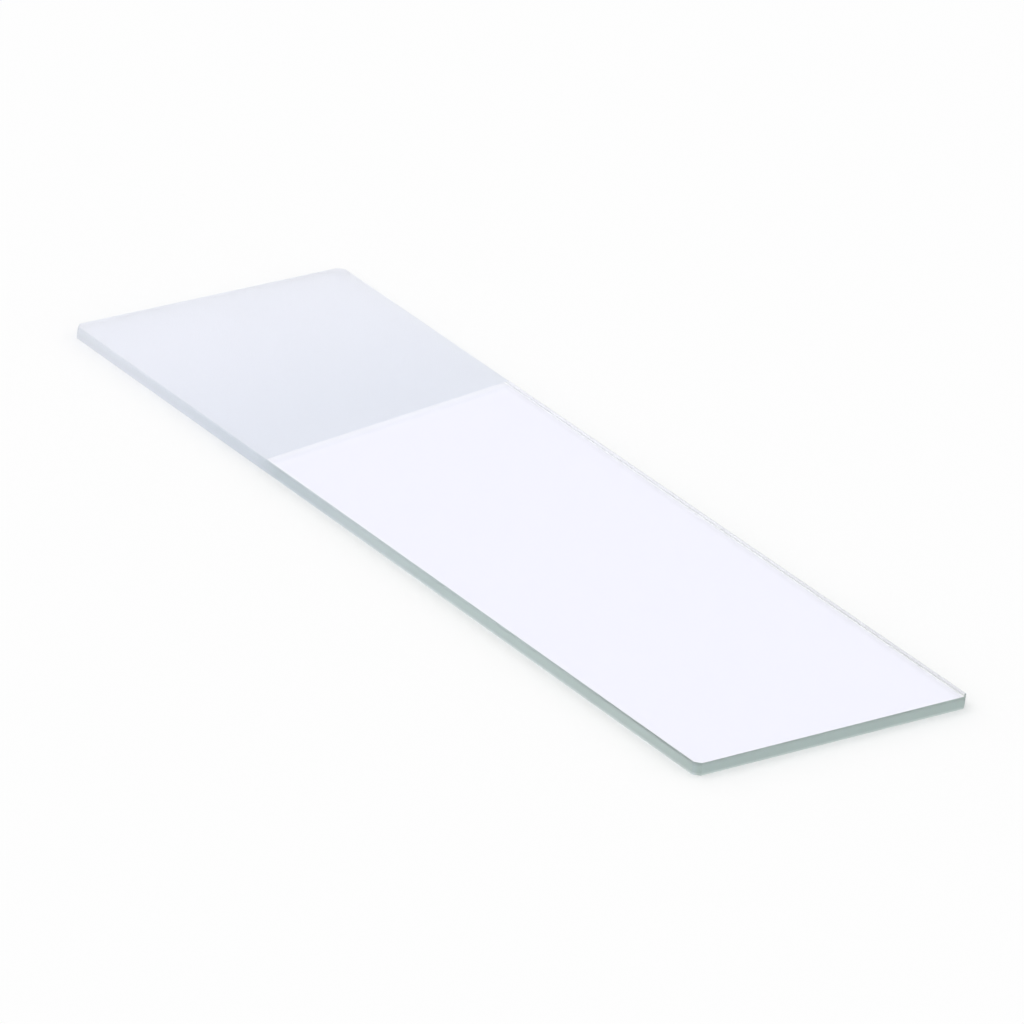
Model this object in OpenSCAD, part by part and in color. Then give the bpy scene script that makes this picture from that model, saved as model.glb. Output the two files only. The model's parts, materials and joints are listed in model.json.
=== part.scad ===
// Microscope slide: one plate of clear glass with ground edges, clipped corners and one frosted end.
// It lies flat, with its underside on z = 0, its length along x and its frosted end towards -x.

/* [Plate] */
// Length of the plate
slide_l = 76.2; // [60:0.1:100]
// Width of the plate
slide_w = 25.4; // [20:0.1:60]
// Thickness of the glass
slide_t = 1; // [0.8:0.05:2]

/* [Ground edges] */
// Leg of each clipped corner, along the edges that it cuts
corner_cut = 0.5; // [0.4:0.1:3]
// Leg of the 45 degree arris ground along every edge, top and bottom
arris = 0.12; // [0.05:0.01:0.3]

/* [Frosted end] */
// Length of the frosted area from the end of the plate, along its middle
frost_l = 22.8; // [10:0.1:40]
// How much longer it is along the front edge than along the back one, 0 for a square border
frost_slant = 3.2; // [0:0.1:6]
// Depth of glass that frosting takes off the top face
frost_depth = 0.02; // [0.01:0.005:0.04]

/* [Hidden] */

// Distance between two diagonally opposite clipped corners, square across them
across_corners = (slide_l + slide_w - 2 * corner_cut) / sqrt(2);
// Length of a bar that reaches past the plate whichever way it lies
bar_l = slide_l + slide_w;
// How far a cut runs past the glass
overrun = 1;

// A bar of the plate's thickness along x, with an arris along each of its four long edges
module ground_bar(width) {
    side = width / 2;
    rotate([90, 0, 90])
        linear_extrude(bar_l, center = true)
            polygon([
                [-side + arris, 0], [side - arris, 0],
                [side, arris], [side, slide_t - arris],
                [side - arris, slide_t], [-side + arris, slide_t],
                [-side, slide_t - arris], [-side, arris]
            ]);
}

// Where the four bars cross: each one grinds two opposite edges of the plate
module ground_plate() {
    intersection() {
        ground_bar(slide_w);
        rotate(90) ground_bar(slide_l);
        rotate(45) ground_bar(across_corners);
        rotate(-45) ground_bar(across_corners);
    }
}

// The skin of glass that frosting removes, across the full width of the plate, with a slanting border
module frosted_skin() {
    reach = slide_w / 2 + overrun;
    past_end = -slide_l / 2 - overrun;
    border = -slide_l / 2 + frost_l;
    slant = reach * frost_slant / slide_w;
    translate([0, 0, slide_t - frost_depth])
        linear_extrude(frost_depth + overrun)
            polygon([
                [past_end, -reach], [border + slant, -reach],
                [border - slant, reach], [past_end, reach]
            ]);
}

module glass_slide() {
    color([0.95, 0.96, 0.99])
        difference() {
            ground_plate();
            frosted_skin();
        }
}

glass_slide();
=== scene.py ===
# Microscope slide: a plate of clear glass with ground edges and a frosted end, lying on a white table.
# Everything is in metres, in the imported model's frame: length along x, frosted end at -x, underside at z = 0.
import json
import math

import bmesh
import bpy
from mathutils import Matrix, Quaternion, Vector


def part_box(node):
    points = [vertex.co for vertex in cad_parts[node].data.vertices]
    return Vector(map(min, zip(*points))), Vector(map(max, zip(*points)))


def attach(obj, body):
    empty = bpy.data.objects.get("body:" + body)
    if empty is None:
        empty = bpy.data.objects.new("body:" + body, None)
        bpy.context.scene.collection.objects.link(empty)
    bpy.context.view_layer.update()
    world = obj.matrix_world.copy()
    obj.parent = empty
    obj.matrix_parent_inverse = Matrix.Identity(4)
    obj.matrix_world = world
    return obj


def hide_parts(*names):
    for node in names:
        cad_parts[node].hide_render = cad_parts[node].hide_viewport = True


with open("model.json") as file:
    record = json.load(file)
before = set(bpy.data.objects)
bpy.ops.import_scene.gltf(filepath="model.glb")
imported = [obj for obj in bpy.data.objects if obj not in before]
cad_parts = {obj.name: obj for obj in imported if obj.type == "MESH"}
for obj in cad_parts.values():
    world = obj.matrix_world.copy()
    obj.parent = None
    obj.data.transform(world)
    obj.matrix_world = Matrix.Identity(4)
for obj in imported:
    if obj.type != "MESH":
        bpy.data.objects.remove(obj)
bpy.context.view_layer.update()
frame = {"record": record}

slideLow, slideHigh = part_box("glass_slide")
slideMiddle = (slideLow + slideHigh) / 2
mounts = {mount["name"]: Vector(mount["pos_m"]) for mount in frame["record"]["mounts"]}
writingFace = mounts["writing_face"]  # middle of the frosted face
print("frame loaded, slide in mm:", [round(side * 1000, 2) for side in slideHigh - slideLow])


class Flow:  # a node socket that sums can be written on
    def __init__(self, tree, socket=None):
        self.tree = tree
        self.socket = socket

    def node(self, kind, settings=None, values=None, output=0):  # any node: settings first, then its sockets
        made = self.tree.nodes.new("ShaderNode" + kind)
        for name, setting in (settings or {}).items():
            setattr(made, name, setting)
        for name, value in (values or {}).items():
            socket = self.pick(made.inputs, name)
            if isinstance(value, Flow):
                self.tree.links.new(value.socket, socket)
            else:
                socket.default_value = value
        return Flow(self.tree, self.pick(made.outputs, output)) if made.outputs else None

    def pick(self, sockets, name):  # by number, or by name among the sockets in use
        if isinstance(name, int):
            return sockets[name]
        return next(socket for socket in sockets if socket.enabled and socket.name == name)

    def also(self, output):  # another output of the same node
        return Flow(self.tree, self.pick(self.socket.node.outputs, output))

    def maths(self, operation, *values):
        return self.node("Math", {"operation": operation}, dict(enumerate(values)))

    def __add__(self, other):
        return self.maths("ADD", self, other)

    def __radd__(self, other):
        return self.maths("ADD", other, self)

    def __sub__(self, other):
        return self.maths("SUBTRACT", self, other)

    def __rsub__(self, other):
        return self.maths("SUBTRACT", other, self)

    def __mul__(self, other):
        return self.maths("MULTIPLY", self, other)

    def __rmul__(self, other):
        return self.maths("MULTIPLY", other, self)

    def __abs__(self):
        return self.maths("ABSOLUTE", self)

    def larger(self, other):
        return self.maths("MAXIMUM", self, other)

    def step(self, low, high):  # 0 below low and 1 above high, smooth between
        ends = {"Value": self, "From Min": low, "From Max": high}
        return self.node("MapRange", {"interpolation_type": "SMOOTHSTEP"}, ends)

    def blend(self, below, above):  # from one colour to another, by this mask
        ends = {"Factor": self, "A": below, "B": above}
        return self.node("Mix", {"data_type": "RGBA"}, ends, "Result")

    def stain(self, colour, by):  # multiplies one colour by another, under this mask
        ends = {"Factor": self, "A": colour, "B": by}
        return self.node("Mix", {"data_type": "RGBA", "blend_type": "MULTIPLY"}, ends, "Result")

    def noise(self, scale, stretch=(1.0, 1.0, 1.0), detail=3.0):  # noise at a place, between 0 and 1
        place = self.node("Mapping", None, {"Vector": self, "Scale": stretch})
        return self.node("TexNoise", None, {"Vector": place, "Scale": scale, "Detail": detail})


def newMaterial(name):
    material = bpy.data.materials.new(name)
    material.use_nodes = True
    material.node_tree.nodes.clear()
    return material, Flow(material.node_tree)


def keepMesh(name, bm):  # turns a finished bmesh into an object at the origin
    mesh = bpy.data.meshes.new(name)
    bm.to_mesh(mesh)
    bm.free()
    made = bpy.data.objects.new(name, mesh)
    bpy.context.scene.collection.objects.link(made)
    return made


# the glass plate
plate = {
    "cornerCut": 0.0005,  # leg of each clipped corner
    "arris": 0.00012,  # leg of the ground arris round both faces
    "arrisSteps": 3,
    "bevelProfile": 0.5,  # a round section
    "frostSlope": 0.00006,  # run of the slope from the clear face down to the frosted one
    "frostEnd": slideLow.x + 2 * (writingFace.x - slideLow.x),  # along the middle of the plate
    "frostSlant": 0.0032,  # how much longer the frosting is along the front edge than along the back one
    "frostDepth": slideHigh.z - writingFace.z,
    "cutAccuracy": 1e-7,  # how near a cut a corner counts as on it
}


def frostDirection():  # square across the border of the frosting, towards the clear glass
    return Vector((slideHigh.y - slideLow.y, plate["frostSlant"], 0)).normalized()


def buildPlate():
    bm = bmesh.new()
    bmesh.ops.create_cube(bm, size=1.0)
    bmesh.ops.scale(bm, vec=slideHigh - slideLow, verts=bm.verts)
    bmesh.ops.translate(bm, vec=slideMiddle, verts=bm.verts)
    bevel = {"profile": plate["bevelProfile"], "affect": "EDGES", "material": -1}
    upright = [edge for edge in bm.edges if abs(edge.verts[0].co.z - edge.verts[1].co.z) > plate["arris"]]
    bmesh.ops.bevel(bm, geom=upright, offset=plate["cornerCut"], segments=1, **bevel)
    rims = [edge for edge in bm.edges if abs(edge.verts[0].co.z - edge.verts[1].co.z) < plate["arris"]]
    bmesh.ops.bevel(bm, geom=rims, offset=plate["arris"], segments=plate["arrisSteps"], **bevel)
    across = frostDirection()
    for back in (0, plate["frostSlope"]):
        everything = bm.verts[:] + bm.edges[:] + bm.faces[:]
        cutAt = Vector((plate["frostEnd"], 0, 0)) - across * back
        accuracy = plate["cutAccuracy"]
        bmesh.ops.bisect_plane(bm, geom=everything, plane_co=cutAt, plane_no=across, dist=accuracy)
    middle = Vector((plate["frostEnd"], 0, 0)) - across * plate["frostSlope"] / 2
    frostedTop = [
        vert
        for vert in bm.verts
        if (vert.co - middle).dot(across) < 0 and vert.co.z > slideHigh.z - plate["arris"] / 2
    ]
    bmesh.ops.translate(bm, vec=(0, 0, -plate["frostDepth"]), verts=frostedTop)
    bmesh.ops.recalc_face_normals(bm, faces=bm.faces)
    return keepMesh("glassPlate", bm)


glass = {
    "clearTint": (0.917, 0.917, 0.971, 1.0),
    "paintedRimTint": (0.99, 0.995, 1.0, 1.0),  # painted highlight: a bright band of clear glass just inside the ground edges, for the light the ground edges scatter into it
    "paintedRimWidth": 0.0003,
    "paintedBorderHighlight": (0.0002, 0.0007),  # the same painted highlight beside the frosting: whole up to the first, gone by the second
    "frostTint": (0.89, 0.905, 0.957, 1.0),
    "frostShadedTint": (0.818, 0.846, 0.902, 1.0),  # painted shade: the frosting is painted darker beside the clear glass
    "frostShadeBand": (-0.021, -0.002),  # where that painted shade sets in, from the border of the frosting
    "frostLineTint": (0.80, 0.83, 0.90, 1.0),  # the very edge of the frosting
    "frostLineWidth": 0.00012,
    "sideTint": (0.31, 0.41, 0.39, 1.0),  # middle of a ground edge
    "sideTopShadeTint": (0.28, 0.365, 0.35, 1.0),  # painted shade: its top and the arris above it, painted darker
    "sideFootLightTint": (0.58, 0.67, 0.66, 1.0),  # painted light: its bottom and the arris below it, painted lighter for the light from the table below
    "endStain": (0.72, 0.75, 0.68, 1.0),  # the ends are greener, as one looks along the whole length of glass
    "sideMiddle": 0.00022,  # half the height of its middle
    "frostSideLitTint": (0.73, 0.765, 0.82, 1.0),  # painted light: the ground edges of the frosted end, painted paler for the light the frosting scatters into them
    "frostSideLitShadedTint": (0.60, 0.66, 0.71, 1.0),  # the same painted light, with painted shade beside the clear glass
    "frostLitBand": (-0.002, 0.004),  # where that painted light ends, from the border of the frosting
    "frostLitFadeBand": (0.0, 0.025),  # where the last faint part of that painted light fades out
    "frostLitFadeShare": 0.42,
    "steepTint": (1.0, 0.995, 0.98, 1.0),  # for light inside the glass: a ground edge is a dull mirror to it
    "steepMirror": 0.8,  # share of it that they turn back
    "steepRoughness": 0.28,
    # a high index, so that the Fresnel mask takes in light inside the glass at nearly all angles,
    # and light outside it at hardly any
    "steepIor": 4.0,
    "steepBand": (0.9, 0.99),  # Fresnel share at which that mask sets in, and at which it is whole
    "maskBlur": 0.000006,  # half the width of the change from one finish to the next
    "clearRoughness": 0.0,
    "frostRoughness": 0.5,
    "groundRoughness": 0.35,
    "unevenness": 0.2,  # of both roughnesses
    "grainScale": 9000.0,  # of the frosting, in grains to the metre
    "grindScale": 14000.0,  # of the grind marks
    "grindStretch": (0.1, 0.1, 1.0),  # draws them out along the edges
    "noiseMiddle": 0.5,
    "bumpStrength": 0.4,
    "bumpDepth": 0.00003,
    "ior": 1.52,
    "absorption": (1.0, 0.6, 0.7),  # share of red, green and blue lost for each metre of glass
}


def glassMaterial():
    material, flow = newMaterial("slideGlass")
    place = flow.node("TexCoord", output="Object")
    x = flow.node("SeparateXYZ", None, {"Vector": place}, "X")
    y = x.also("Y")
    z = x.also("Z")

    # where the ground edges and the frosting are, and the painted highlights, light and shade beside them
    half = (slideHigh - slideLow) / 2
    arris = plate["arris"]
    blur = glass["maskBlur"]
    diagonal = math.sqrt(0.5)
    cornerReach = (half.x + half.y - plate["cornerCut"]) * diagonal
    outline = (abs(x) - half.x).larger(abs(y) - half.y)
    outline = outline.larger((abs(x) + abs(y)) * diagonal - cornerReach)  # 0 on the edge, less inside
    ground = outline.step(-arris - blur, -arris + blur)
    # painted shade on the top of each ground edge and painted light on its foot
    sideTop = (z - slideMiddle.z).step(glass["sideMiddle"], half.z - arris)
    sideFoot = (slideMiddle.z - z).step(glass["sideMiddle"], half.z - arris)
    onTop = z.step(slideHigh.z - arris / 2 - blur, slideHigh.z - arris / 2 + blur)
    across = frostDirection()
    pastFrost = (x - plate["frostEnd"]) * across.x + y * across.y  # less than 0 in the frosting
    frosted = onTop * (1 - pastFrost.step(-plate["frostSlope"], 0.0)) * (1 - ground)
    # painted shade: the frosting is painted darker towards its border with the clear glass
    frostShade = pastFrost.step(*glass["frostShadeBand"])
    frostLine = pastFrost.step(-glass["frostLineWidth"] - plate["frostSlope"], -glass["frostLineWidth"])
    # painted highlight: clear glass along the ground edges and beside the frosting is painted brighter
    paintedRimLight = outline.step(-arris - glass["paintedRimWidth"], -arris)
    paintedHighlight = onTop * paintedRimLight.larger(1 - pastFrost.step(*glass["paintedBorderHighlight"]))
    # painted light on the ground edges of the frosted end, fading out past the border of the frosting
    frostLitSide = 1 - pastFrost.step(*glass["frostLitBand"])
    frostLitSide = frostLitSide.larger((1 - pastFrost.step(*glass["frostLitFadeBand"])) * glass["frostLitFadeShare"])
    onEnd = (abs(x) - half.x).step(-plate["cornerCut"], -arris)
    steep = ground * flow.node("Fresnel", None, {"IOR": glass["steepIor"]}).step(*glass["steepBand"])

    # colour
    clearColour = paintedHighlight.blend(glass["clearTint"], glass["paintedRimTint"])
    frostColour = frostShade.blend(glass["frostTint"], glass["frostShadedTint"])
    frostColour = frostLine.blend(frostColour, glass["frostLineTint"])
    sideColour = sideFoot.blend(sideTop.blend(glass["sideTint"], glass["sideTopShadeTint"]), glass["sideFootLightTint"])
    sideColour = onEnd.stain(sideColour, glass["endStain"])
    sideColour = frostLitSide.blend(sideColour, frostShade.blend(glass["frostSideLitTint"], glass["frostSideLitShadedTint"]))
    colour = ground.blend(frosted.blend(clearColour, frostColour), sideColour)
    colour = steep.blend(colour, glass["steepTint"])

    # roughness and relief
    grain = place.noise(glass["grainScale"])
    grinding = place.noise(glass["grindScale"], glass["grindStretch"])
    noiseMiddle = glass["noiseMiddle"]
    frostRise = glass["frostRoughness"] - glass["clearRoughness"]
    groundRise = glass["groundRoughness"] - glass["clearRoughness"]
    steepRise = glass["steepRoughness"] - glass["clearRoughness"]
    roughness = (
        glass["clearRoughness"]
        + frosted * (frostRise + (grain - noiseMiddle) * glass["unevenness"])
        + (ground - steep) * (groundRise + (grinding - noiseMiddle) * glass["unevenness"])
        + steep * steepRise
    )
    relief = {"Strength": glass["bumpStrength"], "Distance": glass["bumpDepth"], "Height": grain * frosted}
    bump = flow.node("Bump", None, relief)

    surface = flow.node(
        "BsdfPrincipled",
        None,
        {
            "Base Color": colour,
            "Metallic": steep * glass["steepMirror"],
            "Roughness": roughness,
            "IOR": glass["ior"],
            "Transmission Weight": 1.0,
            "Normal": bump,
        },
    )
    density = 2 * max(glass["absorption"])
    absorbed = (*[1 - lost / density for lost in glass["absorption"]], 1.0)
    depth = flow.node("VolumeAbsorption", None, {"Color": absorbed, "Density": density})
    flow.node("OutputMaterial", None, {"Surface": surface, "Volume": depth})
    return material


slide = buildPlate()
slide.data.materials.append(glassMaterial())
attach(slide, "root")
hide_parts("glass_slide")
print("glass plate built:", len(slide.data.polygons), "faces")

# table, lamps and world
table = {
    "size": 12.0,
    "gap": 0.00003,  # of air under the plate
    "colour": (0.93, 0.93, 0.93, 1.0),
    "glow": 0.04,  # lifts what the camera and the glass see of it to white
}
light = {
    "worldStrength": 0.9,
    "bounces": 64,  # enough for light that runs along inside the plate
    # name, azimuth and elevation it shines from, width in degrees, share of the light on the table
    "lamps": [
        ("window", -35, 58, 45, 0.09),
        ("lamp", 150, 50, 60, 0.03),
    ],
}


def seenShare(flow):  # 1 for what the camera sees, straight or in glass
    seen = flow.node("LightPath", output="Is Camera Ray")
    return seen.larger(seen.also("Is Glossy Ray")).larger(seen.also("Is Transmission Ray"))


def buildTable():
    bm = bmesh.new()
    bmesh.ops.create_grid(bm, x_segments=1, y_segments=1, size=table["size"] / 2)
    bmesh.ops.translate(bm, vec=(0, 0, slideLow.z - table["gap"]), verts=bm.verts)
    made = keepMesh("table", bm)
    material, flow = newMaterial("tablePaper")
    paper = flow.node("BsdfDiffuse", None, {"Color": table["colour"]})
    glow = flow.node("Emission", None, {"Strength": seenShare(flow) * table["glow"]})
    both = flow.node("AddShader", None, {0: paper, 1: glow})
    flow.node("OutputMaterial", None, {"Surface": both})
    made.data.materials.append(material)


def towards(azimuth, elevation):  # unit vector, with azimuth 0 in front of the slide and 90 to its right
    azimuth = math.radians(azimuth)
    elevation = math.radians(elevation)
    flat = math.cos(elevation)
    return Vector((math.sin(azimuth) * flat, -math.cos(azimuth) * flat, math.sin(elevation)))


def buildLight():
    world = bpy.data.worlds.new("studio")
    bpy.context.scene.world = world
    world.use_nodes = True
    world.node_tree.nodes.clear()
    flow = Flow(world.node_tree)
    strength = light["worldStrength"] + seenShare(flow) * (1 - light["worldStrength"])
    sky = flow.node("Background", None, {"Color": (1.0, 1.0, 1.0, 1.0), "Strength": strength})
    flow.node("OutputWorld", None, {"Surface": sky})
    for name, azimuth, elevation, width, share in light["lamps"]:
        lamp = bpy.data.lights.new(name, "SUN")
        lamp.angle = math.radians(width)
        lamp.energy = share * math.pi / math.sin(math.radians(elevation))
        made = bpy.data.objects.new(name, lamp)
        made.rotation_mode = "QUATERNION"
        made.rotation_quaternion = (-towards(azimuth, elevation)).to_track_quat("-Z", "Y")
        bpy.context.scene.collection.objects.link(made)


# angles in degrees, distance in metres and lens in millimetres
view = {"azimuth": 48.9, "elevation": 26.3, "distance": 0.848, "lens": 404.3, "roll": 7.93}


def buildCamera():
    back = towards(view["azimuth"], view["elevation"])
    data = bpy.data.cameras.new("camera")
    data.lens = view["lens"]
    camera = bpy.data.objects.new("camera", data)
    camera.location = slideMiddle + back * view["distance"]
    camera.rotation_mode = "QUATERNION"
    roll = Quaternion((0, 0, 1), math.radians(view["roll"]))
    camera.rotation_quaternion = (-back).to_track_quat("-Z", "Y") @ roll
    bpy.context.scene.collection.objects.link(camera)
    bpy.context.scene.camera = camera


buildTable()
buildLight()
buildCamera()
scene = bpy.context.scene
scene.view_settings.view_transform = "Standard"
scene.cycles.blur_glossy = 0.0  # clear glass stays clear for the light that goes through it to the table
scene.cycles.max_bounces = light["bounces"]
scene.cycles.glossy_bounces = light["bounces"]
scene.cycles.transmission_bounces = light["bounces"]
print("table, lamps and camera placed")
